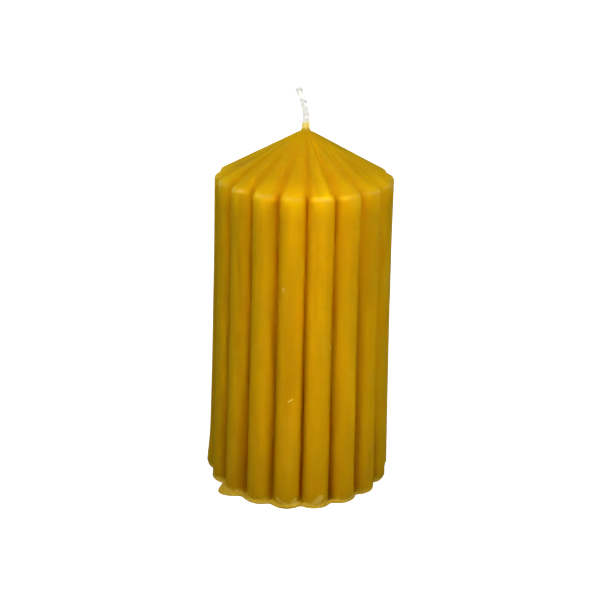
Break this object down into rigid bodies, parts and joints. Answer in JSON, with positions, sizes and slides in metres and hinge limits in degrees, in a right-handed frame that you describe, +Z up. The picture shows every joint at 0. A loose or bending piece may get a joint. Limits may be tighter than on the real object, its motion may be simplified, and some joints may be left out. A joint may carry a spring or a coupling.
{
  "type": "beeswax pillar candle",
  "caption": "Moulded beeswax pillar candle with round vertical ribs, a fluted pointed top and a braided cotton wick.",
  "frame": {"origin": "centre of the flat underside, on the table", "axes": "+Z up along the wick, -Y towards the viewer, the wick's free end leans towards -X"},
  "size_m": [0.0676, 0.0678, 0.1419],
  "materials": {
    "beeswax": "golden yellow beeswax, satin, slightly translucent",
    "cotton_wick": "undyed braided cotton, matt, soaked with wax at its foot"
  },
  "bodies": {
    "root": {"wax_body": "beeswax", "wick": "cotton_wick"}
  },
  "joints": []
}
